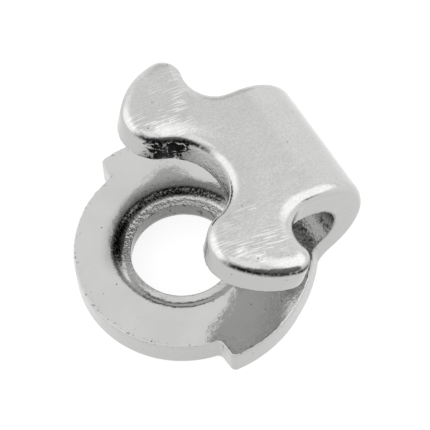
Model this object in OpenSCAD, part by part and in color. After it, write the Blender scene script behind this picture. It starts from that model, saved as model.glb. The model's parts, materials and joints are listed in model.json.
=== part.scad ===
// Riveted lace hook: one stamped blank of plated steel sheet, bent into a ring base, a return bend
// and a hook plate with two rounded horns that stands open over the rivet hole.
// Frame: origin on the rivet hole's axis at the underside, +Z up the hole, +X towards the bend.

/* [Sheet] */
// thickness of the steel sheet
sheet_t = 1.6; // [1.2:0.1:1.8]
// half of the blank's width where it is bent
bend_half_w = 3.2; // [2.8:0.1:3.6]

/* [Ring base] */
// outer diameter of the ring round the rivet hole
ring_d = 9.8; // [9.4:0.1:10.6]
// diameter of the rivet hole's straight wall
hole_d = 4.7; // [4:0.1:5.2]
// width of the dished rim round the top of the hole
rim_w = 0.8; // [0.4:0.1:1]
// radius of the dished rim's section
rim_arc_r = 1; // [1:0.1:1.5]
// outer diameter of the wide part behind the shoulders
shoulder_d = 11.7; // [11.2:0.1:12.4]
// where the shoulders start on the ring, measured from the bend's side
shoulder_angle = 101.5; // [95:0.5:110]
// rake of the shoulder faces, towards the bend at the outer corner
shoulder_rake = 4; // [0:1:15]

/* [Bends] */
// distance from the hole's axis to the start of the ramp
ramp_start_x = 3; // [2.8:0.1:3.4]
// slope that the ramp reaches
ramp_angle = 12; // [6:1:16]
// inner radius of the ramp's gentle curve
ramp_r = 8.4; // [7:0.1:10]
// inner radius of the bend up from the ramp
lower_bend_r = 1.5; // [1:0.1:2]
// inner radius of the bend back over the base
upper_bend_r = 1.85; // [1.4:0.05:2.4]
// upward tilt of the hook plate, from the bend to the horns
plate_tilt = 14; // [6:1:18]

/* [Hook plate] */
// radius of the two side notches
notch_r = 1.4; // [1:0.1:1.6]
// distance from the bend's end to the notches' deepest point
notch_u = 0.35; // [0.2:0.05:0.8]
// radius of each horn's corner next to the notch
horn_rear_r = 0.83; // [0.6:0.01:1]
// distance of that corner's centre from the bend's end
horn_rear_u = 2.5; // [2.3:0.05:2.7]
// radius of each horn's corner at the front
horn_front_r = 1.6; // [1.3:0.05:1.8]
// distance of the front corner's centre from the bend's end
horn_front_u = 3.8; // [3.6:0.05:4]
// distance of the front corner's centre from the middle line
horn_front_v = 3.6; // [3.4:0.05:3.8]
// radius of the slightly bowed end of each horn
horn_end_r = 3.9; // [3.4:0.1:6]
// distance from the bend's end to the centre of the arc between the horns
mouth_arc_u = 4.8; // [4.4:0.05:5.4]

/* [Hidden] */
$fn = 96;
// longer than any side of the part
far = 20;
// how far a cutter runs out past a face
cut = 1;
// how far two arcs overlap where they meet, so that no sliver is left between them
touch = 0.0005;
plating = [0.78, 0.78, 0.79];

ring_r = ring_d / 2;
hole_r = hole_d / 2;
shoulder_r = shoulder_d / 2;
rim_depth = rim_arc_r - sqrt(rim_arc_r * rim_arc_r - rim_w * rim_w);

// side view of the sheet's inner face, as [x, z]: end of the ramp, centres of the bends, start of the plate
ramp_end_x = ramp_start_x + ramp_r * sin(ramp_angle);
ramp_end_z = sheet_t + ramp_r * (1 - cos(ramp_angle));
lower_centre = [ramp_end_x - lower_bend_r * sin(ramp_angle), ramp_end_z + lower_bend_r * cos(ramp_angle)];
upper_centre = [lower_centre[0] + lower_bend_r - upper_bend_r, lower_centre[1]];
plate_angle = 180 - plate_tilt;
plate_start = upper_centre + upper_bend_r * [sin(plate_angle), -cos(plate_angle)];

// centres of the horn outline's arcs, in the plate's own plane: [towards the horns, sideways]
function unit(v) = v / norm(v);
notch_centre = [notch_u, bend_half_w + notch_r];
horn_rear_v = notch_centre[1]
    + sqrt(pow(notch_r + horn_rear_r - touch, 2) - pow(horn_rear_u - notch_u, 2));
rear_centre = [horn_rear_u, horn_rear_v];
front_centre = [horn_front_u, horn_front_v];
mouth_centre = [mouth_arc_u, 0];
mouth_r = norm(mouth_centre - front_centre) - horn_front_r + touch;

// centre of the horn's end arc, which touches both corner arcs from outside
to_front = front_centre - rear_centre;
rear_reach = horn_end_r - horn_rear_r;
front_reach = horn_end_r - horn_front_r;
along = (rear_reach * rear_reach - front_reach * front_reach + to_front * to_front) / (2 * norm(to_front));
inward = unit([to_front[1], -to_front[0]]);
end_centre = rear_centre + along * unit(to_front) + sqrt(rear_reach * rear_reach - along * along) * inward;

module both_sides() {
    children();
    mirror([0, 1, 0]) children();
}

module disc_at(centre, r) {
    translate(centre) circle(r = r);
}

// sector of a circle, between the rays from its centre through two points
module pie(centre, r, first, second) {
    intersection() {
        disc_at(centre, r);
        polygon([centre, centre + 2 * r * unit(first - centre), centre + 2 * r * unit(second - centre)]);
    }
}

module slab() {
    linear_extrude(height = sheet_t) children();
}

// round cutter that runs out past both faces of the sheet
module cutter_at(centre, r) {
    translate([centre[0], centre[1], -cut]) cylinder(r = r, h = sheet_t + 2 * cut);
}

// the hook plate lying flat, with its bend at x = 0 and its horns towards +X
module flat_hook_plate() {
    difference() {
        both_sides() {
            slab() polygon([
                [0, 0], [0, bend_half_w], [notch_u, bend_half_w],
                notch_centre, rear_centre, front_centre, mouth_centre
            ]);
            slab() disc_at(rear_centre, horn_rear_r);
            slab() disc_at(front_centre, horn_front_r);
            slab() pie(end_centre, horn_end_r, rear_centre, front_centre);
        }
        both_sides() cutter_at(notch_centre, notch_r);
        cutter_at(mouth_centre, mouth_r);
    }
}

// seen from above: the ring, the wide part behind the shoulders, and the strip that is bent
shoulder_in = ring_r * [cos(shoulder_angle), sin(shoulder_angle)];
shoulder_out = shoulder_in + far / 2 * [sin(shoulder_rake), cos(shoulder_rake)];

module plan_outline() {
    circle(r = ring_r);
    intersection() {
        circle(r = shoulder_r);
        both_sides() polygon([[0, 0], shoulder_in, shoulder_out, [far, far], [far, 0]]);
    }
    translate([0, -bend_half_w]) square([far / 2, 2 * bend_half_w]);
}

// stretch of bent sheet in side view: sheet_t thick outside an inner radius, between two slopes
module bend_section(centre, r, from, to) {
    reach = 4 * (r + sheet_t);
    intersection() {
        difference() {
            disc_at(centre, r + sheet_t);
            disc_at(centre, r);
        }
        polygon([
            centre,
            centre + reach * [sin(from), -cos(from)],
            centre + reach * [sin((from + to) / 2), -cos((from + to) / 2)],
            centre + reach * [sin(to), -cos(to)]
        ]);
    }
}

// turns a side view drawn in X and Z into a solid across the part, cut to the plan outline
module bent_strip() {
    intersection() {
        rotate([90, 0, 0]) linear_extrude(height = far, center = true) children();
        translate([0, 0, -cut]) linear_extrude(height = far) plan_outline();
    }
}

module base_ring() {
    color(plating) difference() {
        intersection() {
            linear_extrude(height = sheet_t) plan_outline();
            translate([-far, -far, 0]) cube([far + ramp_start_x, 2 * far, sheet_t]);
        }
        cutter_at([0, 0], hole_r);
        // dished rim round the top of the hole
        rotate_extrude() difference() {
            translate([0, sheet_t - rim_depth]) square([hole_r + rim_w, rim_depth + cut]);
            disc_at([hole_r + rim_w, sheet_t - rim_arc_r], rim_arc_r);
        }
    }
}

module return_bend() {
    color(plating) {
        bent_strip() bend_section([ramp_start_x, sheet_t + ramp_r], ramp_r, 0, ramp_angle);
        bent_strip() bend_section(lower_centre, lower_bend_r, ramp_angle, 90);
        bent_strip() bend_section(upper_centre, upper_bend_r, 90, plate_angle);
    }
}

module hook_plate() {
    color(plating)
        translate([plate_start[0], 0, plate_start[1]])
            rotate([0, plate_tilt, 0])
                mirror([1, 0, 0])
                    flat_hook_plate();
}

base_ring();
return_bend();
hook_plate();
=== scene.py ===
"""Riveted boot lace hook: one pressing of plated steel sheet.

The blank is laid out flat, with its stamped edges, and Geometry Nodes bend it into the ring base,
the return bend and the hook plate. Blank coordinates are u along the strip from the rivet hole,
v across it and h through the sheet, from the face that ends up inside the bend to the one outside.
"""

import json
import math

import bmesh
import bpy
import numpy as np
from mathutils import Matrix, Vector, geometry, noise


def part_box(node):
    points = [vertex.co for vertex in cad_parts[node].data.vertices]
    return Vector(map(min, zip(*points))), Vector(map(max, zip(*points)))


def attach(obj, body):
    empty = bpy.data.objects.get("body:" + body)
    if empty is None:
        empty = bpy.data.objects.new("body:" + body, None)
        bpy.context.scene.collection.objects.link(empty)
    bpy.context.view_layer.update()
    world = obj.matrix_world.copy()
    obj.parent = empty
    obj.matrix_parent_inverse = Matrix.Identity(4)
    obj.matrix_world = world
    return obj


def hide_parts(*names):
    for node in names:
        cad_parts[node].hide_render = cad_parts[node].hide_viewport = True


bl_info = {
    "name": "Boot lace hook",
    "version": (1, 0, 0),
    "blender": (4, 5, 0),
    "location": "View3D > Sidebar > Lace hook",
    "description": "Builds a riveted boot lace hook from a flat blank, with its plating and a studio stage",
    "category": "Object",
}

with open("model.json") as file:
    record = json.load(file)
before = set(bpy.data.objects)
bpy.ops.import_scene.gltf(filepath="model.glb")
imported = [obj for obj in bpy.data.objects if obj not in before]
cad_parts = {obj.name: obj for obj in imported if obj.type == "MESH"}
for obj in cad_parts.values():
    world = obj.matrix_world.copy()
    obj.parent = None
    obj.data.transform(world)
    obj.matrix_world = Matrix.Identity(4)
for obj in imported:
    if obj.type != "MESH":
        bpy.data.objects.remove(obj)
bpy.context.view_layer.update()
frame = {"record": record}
BASE_LOW, BASE_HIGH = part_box("base_ring")
HOLE_R = next(m["dims"]["r_mm"] for m in frame["record"]["mounts"] if m["name"] == "rivet_hole") / 1000
MM = 1000.0
SQUARE = math.radians(90)


def linear(hex_colour):
    """The linear value of an sRGB hex colour, as Blender stores colours."""
    parts = [int(hex_colour[i:i + 2], 16) / 255 for i in (1, 3, 5)]
    return tuple(c / 12.92 if c <= 0.04045 else ((c + 0.055) / 1.055) ** 2.4 for c in parts)


def length(name, default, description):
    """A size in metres that the sidebar shows as a length."""
    return bpy.props.FloatProperty(
        name=name, description=description, default=default,
        min=0.0, unit="LENGTH", subtype="DISTANCE", precision=6)


def angle(name, degrees, description):
    """A size in radians that the sidebar shows as an angle."""
    return bpy.props.FloatProperty(
        name=name, description=description, default=math.radians(degrees),
        unit="ROTATION", subtype="ANGLE")


def colour(name, hex_colour, description):
    """A colour given as sRGB hex and stored linear."""
    return bpy.props.FloatVectorProperty(
        name=name, description=description, default=linear(hex_colour),
        size=3, min=0.0, max=1.0, subtype="COLOR")


class LaceHookSizes(bpy.types.PropertyGroup):
    """Sizes of the blank, its bends and its stamped edges."""

    sheet_t: length("Sheet thickness", BASE_HIGH.z - BASE_LOW.z, "Thickness of the steel sheet")
    ring_r: length("Ring radius", -BASE_LOW.x, "Outer radius of the ring round the rivet hole")
    hole_r: length("Hole radius", HOLE_R, "Radius of the rivet hole's straight wall")
    rim_w: length("Rim width", 0.0008, "Width of the dished rim round the top of the hole")
    rim_arc_r: length("Rim radius", 0.001, "Radius of the dished rim's section")
    shoulder_r: length("Shoulder radius", 0.00585, "Outer radius of the wide part behind the shoulders")
    shoulder_angle: angle("Shoulder angle", 101.5, "Where the shoulders start on the ring")
    shoulder_rake: angle("Shoulder rake", 4, "Rake of the shoulder faces")
    half_w: length("Half width", 0.0032, "Half of the blank's width where it is bent")
    ramp_start: length(
        "Ramp start", BASE_HIGH.x, "Distance from the hole's axis to the start of the ramp")
    ramp_r: length("Ramp radius", 0.0084, "Inner radius of the ramp's gentle curve")
    ramp_angle: angle("Ramp angle", 12, "Slope that the ramp reaches")
    lower_r: length("Lower bend radius", 0.0015, "Inner radius of the bend up from the ramp")
    upper_r: length("Upper bend radius", 0.00185, "Inner radius of the bend back over the base")
    plate_tilt: angle("Plate tilt", 14, "Upward tilt of the hook plate towards its horns")
    notch_r: length("Notch radius", 0.0014, "Radius of the two side notches")
    notch_u: length(
        "Notch distance", 0.00035, "Distance from the bend's end to the notches' deepest point")
    horn_rear_r: length("Rear corner radius", 0.00083, "Radius of each horn's corner next to the notch")
    horn_rear_u: length(
        "Rear corner distance", 0.0025, "Distance of that corner's centre from the bend's end")
    horn_front_r: length("Front corner radius", 0.0016, "Radius of each horn's corner at the front")
    horn_front_u: length(
        "Front corner distance", 0.0038, "Distance of the front corner's centre from the bend's end")
    horn_front_v: length(
        "Front corner offset", 0.0036, "Distance of the front corner's centre from the middle line")
    horn_end_r: length("Horn end radius", 0.0039, "Radius of the slightly bowed end of each horn")
    mouth_u: length(
        "Mouth distance", 0.0048, "Distance from the bend's end to the centre of the mouth's arc")
    base_roll: length(
        "Base edge roll", 0.00014, "Depth of the rounding that stamping left on the base's lower edge")
    hook_roll: length(
        "Hook edge roll", 0.0005, "Depth of the rounding on the bend's and the plate's outer edge")
    roll_spread: bpy.props.FloatProperty(
        name="Roll spread", default=1.4,
        description="How much wider than deep the rounding is on the bend and the plate")
    front_spread: bpy.props.FloatProperty(
        name="Front roll spread", default=2.1,
        description="The same at the front of the horns and round the mouth")
    burr_r: length(
        "Burr edge radius", 0.00004, "Radius left by tumbling on the edges of the inner face")
    sag_w: length("Sag width", 0.0006, "How far round the dished rim the face sags a little")
    breakout_w: length(
        "Breakout width", 0.00012, "How much wider the punch tore the hole at its bottom")
    breakout_h: length("Breakout height", 0.0004, "Height of the torn part of the hole's wall")
    edge_step: length("Edge step", 0.00008, "Distance between points along the blank's outline")
    face_step: length("Face step", 0.00022, "Distance between points on the blank's faces")


class LaceHookFinish(bpy.types.PropertyGroup):
    """Colours and roughness of the plating, the colours of its painted highlights and painted shade, and
    colour of the stage.
    """

    plating: colour("Plating", "#C4C4C3", "Bright nickel on the polished faces")
    # also carries the painted shade of the plate's dark scratch lines
    dull_plating_and_scratch_shade: colour("Dull plating", "#ABABAA", "Nickel where it lies thinner or is lightly tarnished")
    cut_edge: colour("Cut edge", "#B6B6B5", "Nickel over the sheared edges")
    # greyer thin plating, also laid as painted shade in the hole, in the dish under the horn and inside the
    # bend
    thin_plating_and_shade: colour("Thin plating", "#7E7E7D", "Greyer nickel in the hole and inside the bend")
    # painted highlight: the light lines of the hairline scratches
    scratch_highlight: colour("Scratches", "#E8E8E8", "Fresh bright metal in the hairline scratches")
    # also the black of the painted shade in the dish and the hole and of the painted dark reflections on the
    # edges and the far horn's wall
    soot_and_painted_shade: colour("Dirt", "#101010", "Dirt, tarnish, polish residue and bare metal")
    face_roughness: bpy.props.FloatProperty(
        name="Face roughness", description="Roughness of the polished faces", default=0.11, min=0, max=1)
    edge_roughness: bpy.props.FloatProperty(
        name="Edge roughness", description="Roughness of the sheared edges", default=0.15, min=0, max=1)
    floor: colour("Floor", "#7E7E7E", "Matt acrylic floor, which is also lit from below")
    floor_glow: bpy.props.FloatProperty(
        name="Floor glow", description="Light that comes up through the floor", default=0.86, min=0)


def add(tree, kind, feeds=(), **settings):
    """Adds a node, sets its settings, and gives its inputs values or links. Returns the node."""
    node = tree.nodes.new(kind)
    for name, value in settings.items():
        setattr(node, name, value)
    for key, value in (feeds.items() if isinstance(feeds, dict) else enumerate(feeds)):
        if isinstance(value, bpy.types.NodeSocket):
            tree.links.new(value, node.inputs[key])
        elif value is not None:
            node.inputs[key].default_value = value
    return node


# ---------------------------------------------------------------- the flat blank, in millimetres


def arc_run(centre, r, start, end, step):
    """Points and directions of travel along an arc, without its last point."""
    n = max(4, math.ceil(abs(end - start) * r / step))
    turn = np.linspace(start, end, n + 1)[:-1]
    across = np.stack([np.cos(turn), np.sin(turn)], 1)
    along = np.stack([-np.sin(turn), np.cos(turn)], 1) * math.copysign(1, end - start)
    return np.hstack([np.array(centre) + r * across, along])


def line_run(start, end, stops):
    """Points and directions of travel along a line, at the given shares of it."""
    start, end = np.array(start, float), np.array(end, float)
    stops = np.asarray(stops, float)[:, None]
    along = (end - start) / np.linalg.norm(end - start)
    return np.hstack([start + (end - start) * stops, np.tile(along, (len(stops), 1))])


def corner_run(start, corner, end, n=6):
    """A corner worn round: a smooth turn from start to end that leaves the corner outside."""
    start, corner, end = (np.array(p, float) for p in (start, corner, end))
    t = np.linspace(0, 1, n + 1)[:-1, None]
    point = (1 - t) ** 2 * start + 2 * t * (1 - t) * corner + t ** 2 * end
    along = (1 - t) * (corner - start) + t * (end - corner)
    return np.hstack([point, along / np.linalg.norm(along, axis=1)[:, None]])


def heading(start, end):
    """The angle of the way from one point to another."""
    return math.atan2(end[1] - start[1], end[0] - start[0])


def bend_ends(s):
    """Where the ramp, the two bends and the plate start, as lengths along the inner face."""
    lower = s.ramp_start + s.ramp_r * s.ramp_angle
    upper = lower + s.lower_r * (SQUARE - s.ramp_angle)
    plate = upper + s.upper_r * (SQUARE - s.plate_tilt)
    return s.ramp_start * MM, lower * MM, upper * MM, plate * MM


def rows_along(s):
    """Distances along the blank at which its faces get a row of points: close together in the bends."""
    ramp, lower, upper, plate = bend_ends(s)
    coarse, close = s.face_step * MM, 0.08
    front = plate + (s.horn_front_u + s.horn_front_r) * MM
    spans = ((-s.ring_r * MM, ramp, coarse), (ramp, lower, coarse), (lower, upper, close),
             (upper, plate, close), (plate, front, coarse))
    rows = [np.linspace(a, b, max(2, round((b - a) / step)) + 1)[:-1] for a, b, step in spans]
    return np.concatenate(rows + [[front]])


def outline(s):
    """The blank's outline, once round: points, directions of travel, with the metal on the right."""
    mm = {name: getattr(s, name) * MM for name in (
        "ring_r", "shoulder_r", "half_w", "notch_r", "notch_u", "horn_rear_r", "horn_rear_u", "horn_front_r",
        "horn_front_u", "horn_front_v", "horn_end_r", "mouth_u", "edge_step")}
    step, ring, wide, half_w = mm["edge_step"], mm["ring_r"], mm["shoulder_r"], mm["half_w"]
    close = 0.7 * step  # between points round the tight corner beside the notch
    # how far back the shoulders' corners are worn, and the corner where the strip leaves the wide part
    crisp, soft = 0.24, 0.35
    plate = bend_ends(s)[3]

    # shoulder: in from the ring, out along a raked face, and round onto the wide part
    inner = ring * np.array([math.cos(s.shoulder_angle), math.sin(s.shoulder_angle)])
    rake = np.array([math.sin(s.shoulder_rake), math.cos(s.shoulder_rake)])
    reach = -inner @ rake + math.sqrt((inner @ rake) ** 2 + wide ** 2 - ring ** 2)
    outer = inner + reach * rake
    wide_from = math.atan2(outer[1], outer[0]) - crisp / wide
    wide_corner = np.array([math.sqrt(wide ** 2 - half_w ** 2), half_w])
    wide_to = math.atan2(wide_corner[1], wide_corner[0]) + soft / wide

    # horn: side notch, corner beside it, bowed end, front corner, and the mouth's arc
    notch = np.array([plate + mm["notch_u"], half_w + mm["notch_r"]])
    rear_u = plate + mm["horn_rear_u"]
    gap = mm["notch_r"] + mm["horn_rear_r"]
    rear = np.array([rear_u, notch[1] + math.sqrt(gap ** 2 - (rear_u - notch[0]) ** 2)])
    front = np.array([plate + mm["horn_front_u"], mm["horn_front_v"]])
    mouth = np.array([plate + mm["mouth_u"], 0.0])
    to_front = front - rear
    span = np.linalg.norm(to_front)
    rear_reach, front_reach = mm["horn_end_r"] - mm["horn_rear_r"], mm["horn_end_r"] - mm["horn_front_r"]
    along = (rear_reach ** 2 - front_reach ** 2 + span ** 2) / (2 * span)
    inward = np.array([to_front[1], -to_front[0]]) / span
    end = rear + along * to_front / span + math.sqrt(rear_reach ** 2 - along ** 2) * inward
    mouth_r = np.linalg.norm(mouth - front) - mm["horn_front_r"]

    # the strip's sides get a point at each row of the faces, except right at their ends
    rows, clear = rows_along(s), 0.02
    strip_from = wide_corner + np.array([soft, 0])
    strip_rows = rows[(rows > strip_from[0] + clear) & (rows < notch[0] - clear)]
    strip_stops = np.concatenate([[strip_from[0]], strip_rows])
    strip_stops = (strip_stops - strip_from[0]) / (notch[0] - strip_from[0])

    half = np.vstack([
        arc_run((0, 0), ring, math.pi, s.shoulder_angle + crisp / ring, step),
        corner_run(ring_point(ring, s.shoulder_angle + crisp / ring), inner, inner + crisp * rake),
        line_run(inner + crisp * rake, outer - crisp * rake, np.linspace(0, 1, 8)[:-1]),
        corner_run(outer - crisp * rake, outer, ring_point(wide, wide_from)),
        arc_run((0, 0), wide, wide_from, wide_to, step),
        corner_run(ring_point(wide, wide_to), wide_corner, strip_from, 8),
        line_run(strip_from, (notch[0], half_w), strip_stops),
        arc_run(notch, mm["notch_r"], -SQUARE, heading(notch, rear), step),
        arc_run(rear, mm["horn_rear_r"], heading(notch, rear) + math.pi, heading(end, rear), close),
        arc_run(end, mm["horn_end_r"], heading(end, rear), heading(end, front), step),
        arc_run(front, mm["horn_front_r"], heading(end, front), heading(front, mouth), step),
        arc_run(mouth, mouth_r, heading(mouth, front), math.pi, step),
        [[mouth[0] - mouth_r, 0, 0, -1]],
    ])
    back = half[-2:0:-1] * [1, -1, -1, 1]
    return np.vstack([half, back])


def ring_point(r, turn):
    """A point on a circle round the rivet hole."""
    return np.array([r * math.cos(turn), r * math.sin(turn)])


def smooth_step(x, low, high):
    """0 below low, 1 above high, and a smooth change between."""
    t = np.clip((np.asarray(x, float) - low) / (high - low), 0, 1)
    return t * t * (3 - 2 * t)


def grain(points, size, seed):
    """Smooth noise from -1 to 1 at each point, with lumps about size across. The seed shifts the pattern."""
    spots = points / size + (seed, -seed, 0)
    return np.array([noise.noise(Vector(spot)) for spot in spots])


# How the stamped edge changes along the blank. A pair is where a change starts and where it is complete.
ROLL_DEEPENS = (2.0, 5.0)  # from the rivet hole: the base's shallow rounding turns into the hook's
STRIP_ENDS = (0.3, 1.5)  # past the plate's start: the strip that was bent is left behind
STRIP_FLATTENED = 0.45  # share of the rounding's depth that bending has taken off the strip's sides
FRONT_WIDENS = (1.8, 2.7)  # past the plate's start: the rounding gets wider towards the front
REAR_STAYS_NARROW = (1.0, 2.6)  # away from the corner beside the notch, where it stays as it is
REAR_OUT = 0.6  # how far out that corner lies from the notch's centre
EDGE_REFLECTION_STARTS = (1.4, 2.2)  # past the plate's start: the painted dark reflection starts in the rounding
EDGE_REFLECTION_SIDE = (0.15, 0.6)  # how squarely an edge faces the near side to get the painted dark reflection
TORN_H = 0.5  # height of the torn lower part of the outline's wall


def edge_loops(s):
    """The wall between the two faces: loops of points round the outline, each with its layers of plating and
    painted reflection.
    """
    run = outline(s)
    points, inward = run[:, :2], np.stack([run[:, 3], -run[:, 2]], 1)
    t, burr_r = s.sheet_t * MM, s.burr_r * MM
    plate = bend_ends(s)[3]
    past = points[:, 0] - plate
    on_hook = smooth_step(points[:, 0], *ROLL_DEEPENS)
    bent = 1 - smooth_step(past, *STRIP_ENDS)
    roll = s.base_roll * MM + (s.hook_roll - s.base_roll) * MM * on_hook * (1 - STRIP_FLATTENED * bent)
    rear = np.array([plate + s.horn_rear_u * MM, (s.half_w + s.notch_r) * MM + REAR_OUT])
    from_rear = np.linalg.norm(np.abs(points) - rear, axis=1)
    at_front = smooth_step(from_rear, *REAR_STAYS_NARROW) * smooth_step(past, *FRONT_WIDENS)
    spread = roll * (1 + (s.roll_spread - 1 + (s.front_spread - s.roll_spread) * at_front) * on_hook)
    # the burr side's edge is a little ragged, and the torn lower part of the wall leans in unevenly
    at = np.column_stack([points, np.zeros(len(points))])
    ragged = 0.024 * (grain(at, 0.3, 3.0) + 0.8 * grain(at, 0.12, 9.0)) + 0.016
    tear = np.abs(0.02 * grain(at, 0.5, 21.0) + 0.012 * grain(at, 0.17, 5.0))
    # painted dark reflection: a ragged black line in the rounding of edges that face the near side, past the
    # plate's start
    reflection_edges = smooth_step(-run[:, 2], *EDGE_REFLECTION_SIDE) * smooth_step(past, *EDGE_REFLECTION_STARTS)
    loops = []

    def loop(depth, height, **layers):
        flat = points + inward * np.broadcast_to(depth, len(points))[:, None]
        loops.append((np.column_stack([flat, np.broadcast_to(height, len(points))]), layers))

    # the burr's edge, from the inner face round onto the wall
    loop(burr_r * 2.4 + ragged, 0.0, burr=1.0)
    for turn, sheared in zip(np.radians((0, 30, 60, 90)), (0.0, 0.0, 1.0, 1.0)):
        depth, height = burr_r * (1 - math.sin(turn)), burr_r * (1 - math.cos(turn))
        loop(depth + ragged, height, burr=1.0, cut_edge=sheared)
    # the torn part and the sheared part of the wall
    for depth, share in ((0.5 * ragged + tear, 0.32), (tear, 0.64), (0.6 * tear, 1.0)):
        loop(depth, TORN_H * share, cut_edge=1.0)
    for share in (0.45, 0.8, 1.0):
        loop(0.0, TORN_H + (t - TORN_H - roll) * share, cut_edge=1.0)
    # the rounding, a quarter of an ellipse: polished from 40 degrees on, with a painted dark reflection below
    # that
    for turn in np.radians(np.linspace(0, 90, 13))[1:]:
        polished = smooth_step(turn, 0.1, 0.7)
        reflection_band = smooth_step(turn, 0.06, 0.2) * (1 - smooth_step(turn, 0.34, 0.62))
        loop(spread * (1 - math.cos(turn)), t - roll * (1 - math.sin(turn)),
             cut_edge=1 - polished, residue=reflection_edges * reflection_band)
    loop(spread + 0.03, t)
    return loops


def dish_section(rim_w, sag_w, depth):
    """The dish's section: distances inwards from the rim's outer edge, and how far down each one lies."""
    # slopes in degrees: the face sags, then a steep rounded shoulder and a flatter ledge
    sag = np.linspace(0, 11, 9)[:-1]
    rest = np.concatenate([np.linspace(11, 50, 10), np.linspace(46, 20, 6), np.full(8, 17.0)])
    slopes = np.radians(np.concatenate([sag, rest]))
    run = np.concatenate([np.linspace(-sag_w, 0, len(sag) + 1)[:-1], np.linspace(0, rim_w, len(rest))])
    fall = np.concatenate([[0], np.cumsum(np.diff(run) * np.tan((slopes[1:] + slopes[:-1]) / 2))])
    return run, fall * (depth / fall[-1])


def hole_loops(s):
    """The rivet hole's dished rim, wall and torn lower lip: loops of points, each with its layers of plating,
    dirt and painted shade.
    """
    t, hole, rim_w, arc = (x * MM for x in (s.sheet_t, s.hole_r, s.rim_w, s.rim_arc_r))
    tear_w, tear_h, sag_w = s.breakout_w * MM, s.breakout_h * MM, s.sag_w * MM
    step = 0.05
    n = round(2 * math.pi * hole / step)
    turn = -np.linspace(0, 2 * math.pi, n, endpoint=False)
    out = np.stack([np.cos(turn), np.sin(turn)], 1)
    # as deep as an arc of the rim's radius gets over the rim's width
    depth = arc - math.sqrt(arc ** 2 - rim_w ** 2)

    # each row of the section: radius, height from the inner face, how rough it is and how thinly plated,
    # which also lays painted shade on the dish and the wall
    section = [(hole + rim_w + sag_w + step, 0.0, 0.0, 0.0)]
    for inwards, down in zip(*dish_section(rim_w, sag_w, depth)):
        share = max(inwards / rim_w, 0.0)
        rough = 0.1 + 0.7 * share if inwards >= 0 else 0.0
        section.append((hole + rim_w - inwards, down, rough, 0.35 * share))
    section += [(hole + 0.002, depth + 0.03, 0.7, 1.0), (hole, depth + 0.07, 0.5, 1.0)]
    dish_rows = len(section)
    section += [(hole, depth + (t - tear_h - depth) * k, 0.3, 1.0) for k in (0.3, 0.6, 1.0)]
    section += [(hole + tear_w * k * k, t - tear_h * (1 - k), 0.7, 1.0) for k in (0.25, 0.5, 0.75, 0.93)]
    section += [(hole + tear_w + 0.03, t, 0.3, 0.3), (hole + tear_w + 0.09, t, 0.0, 0.0)]

    # the punch stood a little askew: the dish is deep and rough on one side, shallow on the other, and
    # painted shade darkens that side, under the horn
    deep = smooth_step(0.3 * out[:, 0] + 0.95 * out[:, 1], -0.7, 0.3)
    under_horn = smooth_step(out[:, 1], 0.0, 0.5)
    loops = []
    for k, (r, drop, rough, thin_plating_and_shade) in enumerate(section):
        height, worn, dish = np.full(n, drop), np.full(n, rough), 0.0
        if k < dish_rows:
            height = height * (0.3 + 0.7 * deep)
            worn = worn * (0.08 + 0.92 * deep)
            # the dish's greyer thin plating and painted shade lie only on the far side, under the horn
            thin_plating_and_shade = thin_plating_and_shade * under_horn
            # painted shade under the horn: it starts on the sagging face, is full on the shoulder and ends on
            # the ledge
            down = (hole + rim_w - r) / rim_w
            shade = 0.35 * smooth_step(down, -0.75, 0.0) + 0.65 * smooth_step(down, -0.12, 0.12)
            dish = shade * (1 - smooth_step(down, 0.36, 0.6)) * under_horn
        at = np.column_stack([r * out, height])
        if 0 < drop < t:
            # lumps that are about three times as long round the hole as across it, and small round ones
            around = np.column_stack([turn * hole * 0.35, np.full(n, r), height])
            shift = worn * (0.010 * grain(around, 0.16, 7.0) + 0.004 * grain(at, 0.1, 2.0))
            at += np.column_stack([out * shift[:, None], 0.5 * shift])
        loops.append((at, {"torn": worn, "dish": dish, "thin_plating_and_shade": thin_plating_and_shade}))
    return loops


def fill_between(outer, inner, s):
    """A face between its outer loop and the hole's: the points put on it in rows, and its triangles. The
    triangles' numbers count the outer loop's points, then the hole's, then the added ones."""
    rows = rows_along(s)
    across = s.face_step * MM
    widest = np.abs(outer[:, 1]).max()
    cols = np.arange(-math.floor(widest / across), math.floor(widest / across) + 1) * across
    grid = np.array([(u, v) for u in rows for v in cols])
    edge = np.vstack([outer[:, :2], inner[:, :2]])
    near = np.min(np.linalg.norm(grid[:, None] - edge[None], axis=2), axis=1)
    grid = grid[near > 0.35 * across]
    n, m = len(outer), len(inner)
    links = [(i, (i + 1) % n) for i in range(n)] + [(n + i, n + (i + 1) % m) for i in range(m)]
    spots = [Vector(p) for p in np.vstack([edge, grid])]
    inside_only, merge_under = 1, 1e-7
    made, _, faces, origin, _, _ = geometry.delaunay_2d_cdt(spots, links, [], inside_only, merge_under)
    made = np.array([list(p) for p in made])
    margin = 0.01
    hole_r = np.linalg.norm(inner[:, :2], axis=1).min() - margin
    tris = [tri for tri in faces if np.linalg.norm(made[list(tri)].mean(axis=0)) > hole_r]
    number, added = {}, []
    for j in sorted({j for tri in tris for j in tri}):
        on_edge = [i for i in origin[j] if i < n + m]
        number[j] = on_edge[0] if on_edge else n + m + len(added)
        if not on_edge:
            added.append(made[j])
    return np.array(added), np.array([[number[j] for j in tri] for tri in tris])


# layers of the plating, of dirt and of painted shade and reflections: attributes from 0 to 1 that the
# material reads
LAYERS = ("cut_edge", "torn", "outside", "painted_wall_reflection", "dish", "burr", "thin_plating_and_shade", "residue", "bend_inside")


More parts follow.
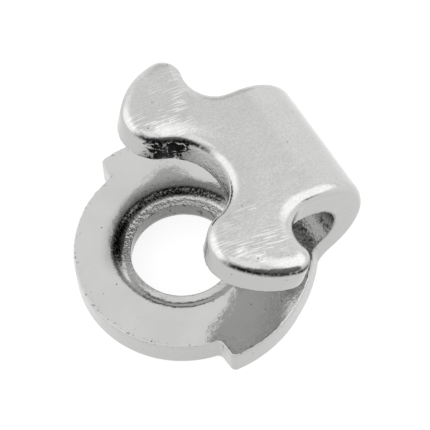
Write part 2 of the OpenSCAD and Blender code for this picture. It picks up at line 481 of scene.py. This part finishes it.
def plating_and_shade_layers(s, verts, loops):
    """How strong each layer of plating, dirt, painted shade and painted reflection is at each point, from 0
    to 1.
    """
    t = s.sheet_t * MM
    _, lower, _, plate = bend_ends(s)
    layers = {}
    for name in LAYERS:
        known = [np.broadcast_to(values.get(name, 0.0), len(at)) for at, values in loops]
        layers[name] = np.concatenate(known + [np.zeros(len(verts) - sum(map(len, known)))])
    layers["outside"] = smooth_step(verts[:, 2] / t, 0.7, 0.98)
    # where the painted dark reflection lies on the mouth's wall, near the far horn's front corner
    tear = np.array([plate + s.horn_front_u * MM + 0.5, s.horn_front_v * MM - 1.9])
    from_wall_reflection = np.linalg.norm(verts[:, :2] - tear, axis=1)
    layers["painted_wall_reflection"] = (1 - smooth_step(from_wall_reflection, 0.3, 1.6)) * layers["cut_edge"]
    # painted shade inside the bend, which the greyer thin plating tint also takes
    inside = (1 - smooth_step(verts[:, 2], 0.0, 0.12)) * smooth_step(verts[:, 0], lower - 0.8, lower + 0.4)
    layers["bend_inside"] = inside * (1 - smooth_step(verts[:, 0], plate - 0.6, plate + 0.6))
    layers["thin_plating_and_shade"] = np.maximum(layers["thin_plating_and_shade"], layers["bend_inside"])
    return layers


def blank_mesh(s):
    """The flat blank as a closed mesh, in metres, with its plating layers as attributes."""
    walls, hole = edge_loops(s), hole_loops(s)
    loops = walls + hole
    n, m = len(walls[0][0]), len(hole[0][0])
    hole_at = n * len(walls)
    faces = []
    for count, size, start in ((len(walls), n, 0), (len(hole), m, hole_at)):
        for k in range(count - 1):
            a, b = start + k * size, start + (k + 1) * size
            faces += [(a + i, a + (i + 1) % size, b + (i + 1) % size, b + i) for i in range(size)]
    verts = [at for at, _ in loops]
    total = hole_at + m * len(hole)
    t = s.sheet_t * MM
    for wall_k, hole_k, height in ((0, 0, 0.0), (len(walls) - 1, len(hole) - 1, t)):
        added, tris = fill_between(walls[wall_k][0], hole[hole_k][0], s)
        numbers = np.concatenate([
            wall_k * n + np.arange(n), hole_at + hole_k * m + np.arange(m), total + np.arange(len(added))])
        faces += numbers[tris].tolist()
        verts.append(np.column_stack([added, np.full(len(added), height)]))
        total += len(added)
    verts = np.vstack(verts)

    # polishing leaves both faces very slightly wavy
    waves = 0.007 + 0.005 * grain(verts, 2.2, 4.0) + 0.002 * grain(verts, 0.8, 11.0)
    height = verts[:, 2].copy()
    verts[:, 2] += waves * (1 - smooth_step(height, 0.0, 0.16))
    verts[:, 2] -= waves * smooth_step(height, t - 0.2, t)

    mesh = bpy.data.meshes.new("blank")
    mesh.from_pydata((verts / MM).tolist(), [], faces)
    for name, values in plating_and_shade_layers(s, verts, loops).items():
        mesh.attributes.new(name, "FLOAT", "POINT").data.foreach_set("value", values.astype(np.float32))
    bm = bmesh.new()
    bm.from_mesh(mesh)
    bmesh.ops.recalc_face_normals(bm, faces=bm.faces)
    open_edges = sum(not e.is_manifold for e in bm.edges)
    bm.to_mesh(mesh)
    bm.free()
    if open_edges:
        raise RuntimeError(f"the blank isn't closed: {open_edges} open edges")
    mesh.polygons.foreach_set("use_smooth", [True] * len(mesh.polygons))
    return mesh


# ---------------------------------------------------------------- bending

BEND_INPUTS = (
    ("Sheet thickness", "sheet_t"), ("Ramp start", "ramp_start"), ("Ramp radius", "ramp_r"),
    ("Ramp angle", "ramp_angle"), ("Lower bend radius", "lower_r"), ("Upper bend radius", "upper_r"),
    ("Plate tilt", "plate_tilt"),
)

# each row: the result's name, the operation, and what it works on
BEND_STEPS = (
    # how far each bend turns in all, and where it starts along the blank
    ("lower turn", "SUBTRACT", SQUARE, "Ramp angle"),
    ("upper turn", "SUBTRACT", SQUARE, "Plate tilt"),
    ("ramp length", "MULTIPLY", "Ramp radius", "Ramp angle"),
    ("lower start", "ADD", "Ramp start", "ramp length"),
    ("lower length", "MULTIPLY", "Lower bend radius", "lower turn"),
    ("upper start", "ADD", "lower start", "lower length"),
    ("upper length", "MULTIPLY", "Upper bend radius", "upper turn"),
    ("plate start", "ADD", "upper start", "upper length"),
    # how much of each turn lies behind this point
    ("past ramp", "SUBTRACT", "u", "Ramp start"),
    ("ramp share", "DIVIDE", "past ramp", "Ramp radius"),
    ("ramp held", "MINIMUM", "ramp share", "Ramp angle"),
    ("ramp done", "MAXIMUM", "ramp held", 0.0),
    ("past lower", "SUBTRACT", "u", "lower start"),
    ("lower share", "DIVIDE", "past lower", "Lower bend radius"),
    ("lower held", "MINIMUM", "lower share", "lower turn"),
    ("lower done", "MAXIMUM", "lower held", 0.0),
    ("past upper", "SUBTRACT", "u", "upper start"),
    ("upper share", "DIVIDE", "past upper", "Upper bend radius"),
    ("upper held", "MINIMUM", "upper share", "upper turn"),
    ("upper done", "MAXIMUM", "upper held", 0.0),
    ("slope low", "ADD", "ramp done", "lower done"),
    ("slope", "ADD", "slope low", "upper done"),
    ("flat run", "MINIMUM", "u", "Ramp start"),
    ("past plate", "SUBTRACT", "u", "plate start"),
    ("plate run", "MAXIMUM", "past plate", 0.0),
    # the inner face's place: the flat, each arc's own step along and up, and the straight plate
    ("sin ramp", "SINE", "ramp done"), ("cos ramp", "COSINE", "ramp done"),
    ("sin low", "SINE", "slope low"), ("cos low", "COSINE", "slope low"),
    ("sin all", "SINE", "slope"), ("cos all", "COSINE", "slope"),
    ("x ramp", "MULTIPLY", "Ramp radius", "sin ramp"),
    ("x ramp low", "SUBTRACT", "sin low", "sin ramp"),
    ("x low", "MULTIPLY", "Lower bend radius", "x ramp low"),
    ("x low up", "SUBTRACT", "sin all", "sin low"),
    ("x up", "MULTIPLY", "Upper bend radius", "x low up"),
    ("x plate", "MULTIPLY", "plate run", "cos all"),
    ("x 1", "ADD", "flat run", "x ramp"), ("x 2", "ADD", "x 1", "x low"),
    ("x 3", "ADD", "x 2", "x up"), ("x inner", "ADD", "x 3", "x plate"),
    ("z rise", "SUBTRACT", 1.0, "cos ramp"),
    ("z ramp", "MULTIPLY", "Ramp radius", "z rise"),
    ("z ramp low", "SUBTRACT", "cos ramp", "cos low"),
    ("z low", "MULTIPLY", "Lower bend radius", "z ramp low"),
    ("z low up", "SUBTRACT", "cos low", "cos all"),
    ("z up", "MULTIPLY", "Upper bend radius", "z low up"),
    ("z plate", "MULTIPLY", "plate run", "sin all"),
    ("z 1", "ADD", "Sheet thickness", "z ramp"), ("z 2", "ADD", "z 1", "z low"),
    ("z 3", "ADD", "z 2", "z up"), ("z inner", "ADD", "z 3", "z plate"),
    # out through the sheet, square to it
    ("x out", "MULTIPLY", "h", "sin all"), ("z out", "MULTIPLY", "h", "cos all"),
    ("x", "ADD", "x inner", "x out"), ("z", "SUBTRACT", "z inner", "z out"),
)


def bending_tree(plating):
    """Geometry Nodes that bend a flat blank into the hook."""
    tree = bpy.data.node_groups.new("Bend the blank", "GeometryNodeTree")
    tree.interface.new_socket("Geometry", in_out="INPUT", socket_type="NodeSocketGeometry")
    for label, _ in BEND_INPUTS:
        tree.interface.new_socket(label, in_out="INPUT", socket_type="NodeSocketFloat")
    tree.interface.new_socket("Geometry", in_out="OUTPUT", socket_type="NodeSocketGeometry")
    given = add(tree, "NodeGroupInput")
    place = add(tree, "ShaderNodeSeparateXYZ", [add(tree, "GeometryNodeInputPosition").outputs[0]])
    known = {label: given.outputs[label] for label, _ in BEND_INPUTS}
    known.update(u=place.outputs["X"], v=place.outputs["Y"], h=place.outputs["Z"])
    for name, operation, *terms in BEND_STEPS:
        feeds = [known[term] if isinstance(term, str) else term for term in terms]
        known[name] = add(tree, "ShaderNodeMath", feeds, operation=operation).outputs[0]
    bent = add(tree, "ShaderNodeCombineXYZ", [known["x"], known["v"], known["z"]])
    moved = add(tree, "GeometryNodeSetPosition",
                {"Geometry": given.outputs["Geometry"], "Position": bent.outputs[0]})
    real = add(tree, "GeometryNodeRealizeInstances", [moved.outputs["Geometry"]])
    coated = add(tree, "GeometryNodeSetMaterial", {
        "Geometry": real.outputs["Geometry"], "Material": plating})
    add(tree, "NodeGroupOutput", [coated.outputs["Geometry"]])
    return tree


def bent_object(name, mesh, tree, values):
    """Runs a Geometry Nodes tree on a mesh and returns the result as a plain object."""
    source = bpy.data.objects.new(name + ".source", mesh)
    bpy.context.scene.collection.objects.link(source)
    modifier = source.modifiers.new("Bend", "NODES")
    modifier.node_group = tree
    for item in tree.interface.items_tree:
        if item.in_out == "INPUT" and item.name in values:
            modifier[item.identifier] = values[item.name]
    depsgraph = bpy.context.evaluated_depsgraph_get()
    made = bpy.data.meshes.new_from_object(source.evaluated_get(depsgraph), depsgraph=depsgraph)
    source.modifiers.remove(modifier)
    bpy.data.objects.remove(source)
    made.name = name
    result = bpy.data.objects.new(name, made)
    bpy.context.scene.collection.objects.link(result)
    return result


# ---------------------------------------------------------------- plating


# noise patterns: name, scale (1 over a lump's size in mm), detail, roughness and distortion
NOISES = (
    ("fine", 11.0, 2.0, 0.5, 0.0),  # grain of the sheet under the plating
    ("peel", 2.4, 1.0, 0.5, 0.0),  # orange peel
    ("cloud", 0.5, 3.0, 0.5, 0.0),  # clouds of thicker and thinner plating
    ("tear", 8.0, 4.0, 0.5, 0.0),  # tearing of sheared metal
    ("patch", 0.55, 1.0, 0.5, 0.0),  # patches of scratches
    ("ragged", 2.6, 6.0, 0.68, 0.9),  # ragged outlines, for the painted dark reflection on the far horn's wall and the streaks in the painted shade
)

# wear, dirt, painted shade and painted dark reflections: name, the noise it follows, the stretch of the noise
# over which it changes, its strength at the start and at the end of that stretch, and the layer that holds it
# in place
WEAR_AND_PAINTED_SHADE = (
    ("grain", "fine", 0.35, 0.65, 0.0, 0.5, "outside"),  # duller spots of the sheet's grain
    ("tears", "tear", 0.55, 0.72, 0.0, 0.75, "torn"),  # dirt in torn metal
    ("painted_dish_shade", "fine", 0.42, 0.66, 1.0, 0.68, "dish"),  # painted shade in the dish under the horn: nearly black, with grains that still shine
    ("specks", "tear", 0.58, 0.68, 0.0, 0.55, "burr"),  # dark specks along the burr's edge
    ("residue", "tear", 0.36, 0.52, 0.5, 0.97, "residue"),  # painted dark reflection in the horns' edge roundings, in a ragged line
    ("streaks", "ragged", 0.55, 0.62, 0.0, 0.8, "thin_plating_and_shade"),  # blackened in ragged streaks where the plating is thin and painted shade lies
)

# hairline scratches on the far and the near half of the plate: their angle in degrees, and where across the
# plate they start and are at their densest, in mm
SCRATCHES = ((-3, -2.2, 0.8), (-8, -0.6, -2.6))
SCRATCH_SIZE = (0.75, 0.05, 0.75)  # about 0.75 mm long and 0.05 mm wide
SCRATCH_LINES = (("light", 0.61, 0.70), ("dark", 0.38, 0.27))  # which part of the noise each kind follows
PLATE_TOP = (("X", 3.6, 2.4), ("Z", 3.5, 4.5))  # and where along and up the hook they start and are full


def scratches(tree, in_mm, patch, outside):
    """Hairline scratches in loose patches, only on top of the hook plate: the light lines are painted
    highlights, the dark lines painted shade.
    """
    where = add(tree, "ShaderNodeSeparateXYZ", [in_mm])
    area = add(tree, "ShaderNodeMapRange", {"Value": patch, "From Min": 0.46, "From Max": 0.56}).outputs[0]
    for axis, start, full in PLATE_TOP:
        limit = add(tree, "ShaderNodeMapRange", {
            "Value": where.outputs[axis], "From Min": start, "From Max": full}).outputs[0]
        area = add(tree, "ShaderNodeMath", [area, limit], operation="MULTIPLY").outputs[0]
    area = add(tree, "ShaderNodeMath", [area, outside], operation="MULTIPLY").outputs[0]
    marks = {}
    for turn, start, dense in SCRATCHES:
        drawn = add(tree, "ShaderNodeMapping", {
            "Vector": in_mm, "Rotation": (0, 0, math.radians(turn)), "Scale": SCRATCH_SIZE},
            vector_type="TEXTURE").outputs[0]
        hair = add(tree, "ShaderNodeTexNoise", {
            "Vector": drawn, "Scale": 1.0, "Detail": 0.0}).outputs["Fac"]
        half = add(tree, "ShaderNodeMapRange", {
            "Value": where.outputs["Y"], "From Min": start, "From Max": dense}).outputs[0]
        here = add(tree, "ShaderNodeMath", [area, half], operation="MULTIPLY").outputs[0]
        for kind, low, high in SCRATCH_LINES:
            line = add(tree, "ShaderNodeMapRange", {
                "Value": hair, "From Min": low, "From Max": high}).outputs[0]
            line = add(tree, "ShaderNodeMath", [line, here], operation="MULTIPLY").outputs[0]
            if kind in marks:
                line = add(tree, "ShaderNodeMath", [marks[kind], line], operation="MAXIMUM").outputs[0]
            marks[kind] = line
    return marks["light"], marks["dark"]


def bright_nickel(f):
    """Bright nickel plating over tumbled and polished steel sheet.

    Mirror-like but not quite clean: a fine grain and slight orange peel soften what it reflects, hairline
    scratches on the plate get painted highlights with painted shade in their dark lines, and the sheared
    edges are a little rougher and duller than the faces. Dirt sits where polishing didn't reach; painted
    shade darkens the dish under the horn, the hole and the inside of the bend, and painted dark reflections
    lie along the horns' edge roundings and on the far horn's mouth wall.
    """
    material = bpy.data.materials.new("bright nickel plated steel, tumbled")
    material.use_nodes = True
    tree = material.node_tree
    tree.nodes.clear()
    coords = add(tree, "ShaderNodeTexCoord").outputs["Object"]
    in_mm = add(tree, "ShaderNodeVectorMath", {0: coords, "Scale": MM}, operation="SCALE").outputs[0]
    layer = {name: add(tree, "ShaderNodeAttribute", attribute_name=name).outputs["Fac"] for name in LAYERS}
    pattern = {name: add(tree, "ShaderNodeTexNoise", {
        "Vector": in_mm, "Scale": scale, "Detail": detail, "Roughness": roughness, "Distortion": distortion,
    }).outputs["Fac"] for name, scale, detail, roughness, distortion in NOISES}
    wear_and_painted_shade = {}
    for name, source, start, stop, low, high, place in WEAR_AND_PAINTED_SHADE:
        level = add(tree, "ShaderNodeMapRange", {
            "Value": pattern[source], "From Min": start, "From Max": stop,
            "To Min": low, "To Max": high}).outputs[0]
        wear_and_painted_shade[name] = add(tree, "ShaderNodeMath", [level, layer[place]], operation="MULTIPLY").outputs[0]
    light, dark = scratches(tree, in_mm, pattern["patch"], layer["outside"])

    # a painted dark reflection on the far horn's sheared wall: one black patch with a hard, ragged outline
    tear = add(tree, "ShaderNodeMath", [
        layer["painted_wall_reflection"], 0.3, pattern["ragged"]], operation="MULTIPLY_ADD").outputs[0]
    wear_and_painted_shade["painted_wall_reflection"] = add(tree, "ShaderNodeMapRange", {
        "Value": tear, "From Min": 0.70, "From Max": 0.715}).outputs[0]
    # pits: dark specks up to 0.07 mm across, about one in 4 square millimetres
    cells = add(tree, "ShaderNodeTexVoronoi", {"Vector": in_mm, "Scale": 1.6})
    wear_and_painted_shade["pits"] = add(tree, "ShaderNodeMapRange", {
        "Value": cells.outputs["Distance"], "From Min": 0.035, "From Max": 0.06, "To Min": 1.0, "To Max": 0.0,
    }).outputs[0]
    # dirt, tears and pits, with the painted shade and the painted dark reflections laid in among them
    dirt_and_painted_shade = wear_and_painted_shade["tears"]
    for name, operation in (("painted_dish_shade", "ADD"), ("specks", "MAXIMUM"), ("residue", "MAXIMUM"),
                            ("painted_wall_reflection", "MAXIMUM"), ("streaks", "ADD"), ("pits", "MAXIMUM")):
        dirt_and_painted_shade = add(tree, "ShaderNodeMath", [dirt_and_painted_shade, wear_and_painted_shade[name]], operation=operation, use_clamp=True).outputs[0]

    # colour: each tint is laid over the ones before it
    dull = add(tree, "ShaderNodeMapRange", {
        "Value": pattern["cloud"], "From Min": 0.42, "From Max": 0.68, "To Max": 0.22}).outputs[0]
    # the scratches' dark lines are painted shade and their light lines painted highlights
    dark = add(tree, "ShaderNodeMath", [dark, 0.45], operation="MULTIPLY").outputs[0]
    bright = add(tree, "ShaderNodeMath", [light, 0.65], operation="MULTIPLY").outputs[0]
    tone = (*f.plating, 1)
    for share, tint in (
            (dull, f.dull_plating_and_scratch_shade), (wear_and_painted_shade["grain"], f.dull_plating_and_scratch_shade), (layer["cut_edge"], f.cut_edge),
            (layer["thin_plating_and_shade"], f.thin_plating_and_shade), (dark, f.dull_plating_and_scratch_shade), (bright, f.scratch_highlight), (dirt_and_painted_shade, f.soot_and_painted_shade)):
        tone = add(tree, "ShaderNodeMix", {
            "Factor": share, 6: tone, 7: (*tint, 1)}, data_type="RGBA").outputs[2]

    rough = add(tree, "ShaderNodeMapRange", {
        "Value": pattern["cloud"], "From Min": 0.3, "From Max": 0.7,
        "To Min": f.face_roughness * 0.8, "To Max": f.face_roughness * 1.3}).outputs[0]
    rough = add(tree, "ShaderNodeMix", {
        "Factor": layer["cut_edge"], "A": rough, "B": f.edge_roughness}, data_type="FLOAT").outputs[0]
    rough = add(tree, "ShaderNodeMath", [light, 0.12, rough], operation="MULTIPLY_ADD").outputs[0]

    # relief, in metres: on the faces, in the scratches, and where metal was sheared, torn or galled
    relief = [(pattern["peel"], 1.0e-5), (pattern["fine"], 3.5e-6), (light, 1.5e-6)]
    for place, depth in (("cut_edge", 1.4e-5), ("torn", 4e-5), ("bend_inside", 3e-5)):
        height = add(tree, "ShaderNodeMath", [pattern["tear"], layer[place]], operation="MULTIPLY").outputs[0]
        relief.append((height, depth))
    bump = None
    for height, depth in relief:
        bump = add(tree, "ShaderNodeBump", {
            "Height": height, "Distance": depth, "Strength": 1.0, "Normal": bump}).outputs[0]

    shader = add(tree, "ShaderNodeBsdfPrincipled", {
        "Base Color": tone, "Metallic": 1.0, "Roughness": rough, "Normal": bump})
    add(tree, "ShaderNodeOutputMaterial", [shader.outputs[0]])
    return material


# ---------------------------------------------------------------- stage


def matt_floor(f):
    """Matt white acrylic sheet, lit from below: an even pale ground that hardly holds a shadow."""
    material = bpy.data.materials.new("matt white acrylic, lit from below")
    material.use_nodes = True
    tree = material.node_tree
    tree.nodes.clear()
    coords = add(tree, "ShaderNodeTexCoord").outputs["Object"]
    # clouds of about 17 mm in the sheet, hardly darker than the rest
    cloud = add(tree, "ShaderNodeTexNoise", {"Vector": coords, "Scale": 60.0, "Detail": 2.0}).outputs["Fac"]
    off_white = tuple(c * 0.985 for c in f.floor)
    tone = add(tree, "ShaderNodeMix", {
        "Factor": cloud, 6: (*f.floor, 1), 7: (*off_white, 1)}, data_type="RGBA").outputs[2]
    shader = add(tree, "ShaderNodeBsdfPrincipled", {
        "Base Color": tone, "Roughness": 0.9,
        "Emission Color": (1, 1, 1, 1), "Emission Strength": f.floor_glow})
    add(tree, "ShaderNodeOutputMaterial", [shader.outputs[0]])
    return material


VIEW_FROM = (-28.74, 62.33)  # azimuth and elevation of the camera, in degrees
VIEW_ROLL = math.radians(-3.05)
CAMERA_PLACE = (0.00141, 0.002175, 0.0964)  # in metres, along the camera's own right, up and back
LENS, SENSOR = 178.0, 36.0  # in millimetres


def compass(azimuth, elevation):
    """The direction at an azimuth and elevation in degrees, and the level direction to the right of it."""
    turn, lift = math.radians(azimuth), math.radians(elevation)
    way = Vector((math.sin(turn) * math.cos(lift), -math.cos(turn) * math.cos(lift), math.sin(lift)))
    return way, Vector((math.cos(turn), math.sin(turn), 0))


def make_camera():
    """A long lens high over the hook's open side."""
    back, level = compass(*VIEW_FROM)
    c, s = math.cos(VIEW_ROLL), math.sin(VIEW_ROLL)
    up = back.cross(level)
    right, up = c * level + s * up, -s * level + c * up
    data = bpy.data.cameras.new("camera")
    data.lens, data.sensor_width, data.sensor_fit = LENS, SENSOR, "AUTO"
    data.clip_start, data.clip_end = 0.001, 5.0
    camera = bpy.data.objects.new("camera", data)
    place = CAMERA_PLACE[0] * right + CAMERA_PLACE[1] * up + CAMERA_PLACE[2] * back
    turn = Matrix((right, up, back)).transposed().to_4x4()
    camera.matrix_world = Matrix.Translation(place) @ turn
    bpy.context.scene.collection.objects.link(camera)
    bpy.context.scene.camera = camera


def make_light(name, towards, distance, size, power):
    """A square soft light at a distance in a direction, aimed at the hook."""
    data = bpy.data.lights.new(name, "AREA")
    data.shape, data.size, data.energy = "SQUARE", size, power
    lamp = bpy.data.objects.new(name, data)
    way = Vector(towards).normalized()
    lamp.matrix_world = Matrix.Translation(way * distance) @ way.to_track_quat("Z", "Y").to_matrix().to_4x4()
    lamp.visible_camera = False
    bpy.context.scene.collection.objects.link(lamp)


TENT_LEVEL = 1.1  # brightness of the tent where it has no patch
TENT_LEAST = 0.22  # and of its darkest part
PATCH_FADE = (1.3, 0.35)  # where a patch fades in and where it is full, as shares of its half size, squared
# each soft patch: azimuth, elevation, half width and half height in degrees, and how much light it adds
TENT_PATCHES = (
    (-122, 34, 56, 34, 0.62),  # bright on the left and behind
    (75, 40, 32, 36, 0.7),  # bright on the right
    (118, 6, 16, 28, 0.12),  # a slightly brighter strip, low on the right
    (144, 6, 14, 26, -0.2),  # a dimmer one beside it
    (-6, 25, 42, 31, -1.6),  # the dim opening in front
)


def make_tent():
    """The white tent round the hook: even, with soft brighter patches and one dim opening."""
    world = bpy.data.worlds.new("white tent")
    bpy.context.scene.world = world
    world.use_nodes = True
    tree = world.node_tree
    tree.nodes.clear()
    way = add(tree, "ShaderNodeTexCoord").outputs["Generated"]
    total = TENT_LEVEL
    for azimuth, elevation, wide, high, gain in TENT_PATCHES:
        middle, level = compass(azimuth, elevation)
        squares = []
        for axis, reach in ((level, wide), (middle.cross(level), high)):
            off = add(tree, "ShaderNodeVectorMath", [way, axis], operation="DOT_PRODUCT").outputs["Value"]
            reach = math.sin(math.radians(reach))
            share = add(tree, "ShaderNodeMath", [off, reach], operation="DIVIDE").outputs[0]
            squares.append(add(tree, "ShaderNodeMath", [share, 2.0], operation="POWER").outputs[0])
        away = add(tree, "ShaderNodeMath", squares, operation="ADD").outputs[0]
        soft = add(tree, "ShaderNodeMapRange", {
            "Value": away, "From Min": PATCH_FADE[0], "From Max": PATCH_FADE[1], "To Max": gain},
            interpolation_type="SMOOTHSTEP").outputs[0]
        # only on the patch's own side of the tent
        ahead = add(tree, "ShaderNodeVectorMath", [way, middle], operation="DOT_PRODUCT").outputs["Value"]
        ahead = add(tree, "ShaderNodeMath", [ahead, 0.0], operation="GREATER_THAN").outputs[0]
        total = add(tree, "ShaderNodeMath", [soft, ahead, total], operation="MULTIPLY_ADD").outputs[0]
    total = add(tree, "ShaderNodeMath", [total, TENT_LEAST], operation="MAXIMUM").outputs[0]
    sky = add(tree, "ShaderNodeBackground", {"Color": (1, 1, 1, 1), "Strength": total})
    add(tree, "ShaderNodeOutputWorld", [sky.outputs[0]])


# ---------------------------------------------------------------- operators, panel and run


class LACEHOOK_OT_pressing(bpy.types.Operator):
    """Makes the hook: the flat blank, bent by Geometry Nodes and plated"""

    bl_idname = "lacehook.pressing"
    bl_label = "Pressing"

    def execute(self, context):
        sizes, finish = context.scene.lace_hook_sizes, context.scene.lace_hook_finish
        tree = bending_tree(bright_nickel(finish))
        values = {label: getattr(sizes, name) for label, name in BEND_INPUTS}
        hook = bent_object("lace_hook", blank_mesh(sizes), tree, values)
        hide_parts("base_ring", "return_bend", "hook_plate")
        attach(hook, "root")
        return {"FINISHED"}


class LACEHOOK_OT_stage(bpy.types.Operator):
    """Makes the floor, the soft studio light and the camera"""

    bl_idname = "lacehook.stage"
    bl_label = "Stage"

    def execute(self, context):
        mesh = bpy.data.meshes.new("floor")
        # the floor lies a hair below the hook, so that the two faces never share a plane
        half, low = 0.8, -0.00002
        corners = [(-half, -half, low), (half, -half, low), (half, half, low), (-half, half, low)]
        mesh.from_pydata(corners, [], [(0, 1, 2, 3)])
        mesh.materials.append(matt_floor(context.scene.lace_hook_finish))
        floor = bpy.data.objects.new("floor", mesh)
        context.scene.collection.objects.link(floor)
        make_tent()
        make_light("overhead softbox", towards=(-0.1, -0.2, 0.97), distance=0.6, size=0.3, power=0.08)
        make_camera()
        context.scene.view_settings.view_transform = "Standard"
        return {"FINISHED"}


class LACEHOOK_PT_panel(bpy.types.Panel):
    """Lists the hook's piece and its stage, with their sizes and colours"""

    bl_idname = "LACEHOOK_PT_panel"
    bl_label = "Lace hook"
    bl_space_type = "VIEW_3D"
    bl_region_type = "UI"
    bl_category = "Lace hook"

    def draw(self, context):
        for operator in (LACEHOOK_OT_pressing, LACEHOOK_OT_stage):
            self.layout.operator(operator.bl_idname)
        for group in (context.scene.lace_hook_sizes, context.scene.lace_hook_finish):
            box = self.layout.box()
            for name in group.__annotations__:
                box.prop(group, name)


CLASSES = (LaceHookSizes, LaceHookFinish, LACEHOOK_OT_pressing, LACEHOOK_OT_stage, LACEHOOK_PT_panel)


def register():
    for cls in CLASSES:
        bpy.utils.register_class(cls)
    bpy.types.Scene.lace_hook_sizes = bpy.props.PointerProperty(type=LaceHookSizes)
    bpy.types.Scene.lace_hook_finish = bpy.props.PointerProperty(type=LaceHookFinish)


def unregister():
    del bpy.types.Scene.lace_hook_finish
    del bpy.types.Scene.lace_hook_sizes
    for cls in reversed(CLASSES):
        bpy.utils.unregister_class(cls)


def main():
    register()
    bpy.ops.lacehook.pressing()
    bpy.ops.lacehook.stage()


if __name__ == "__main__":
    main()
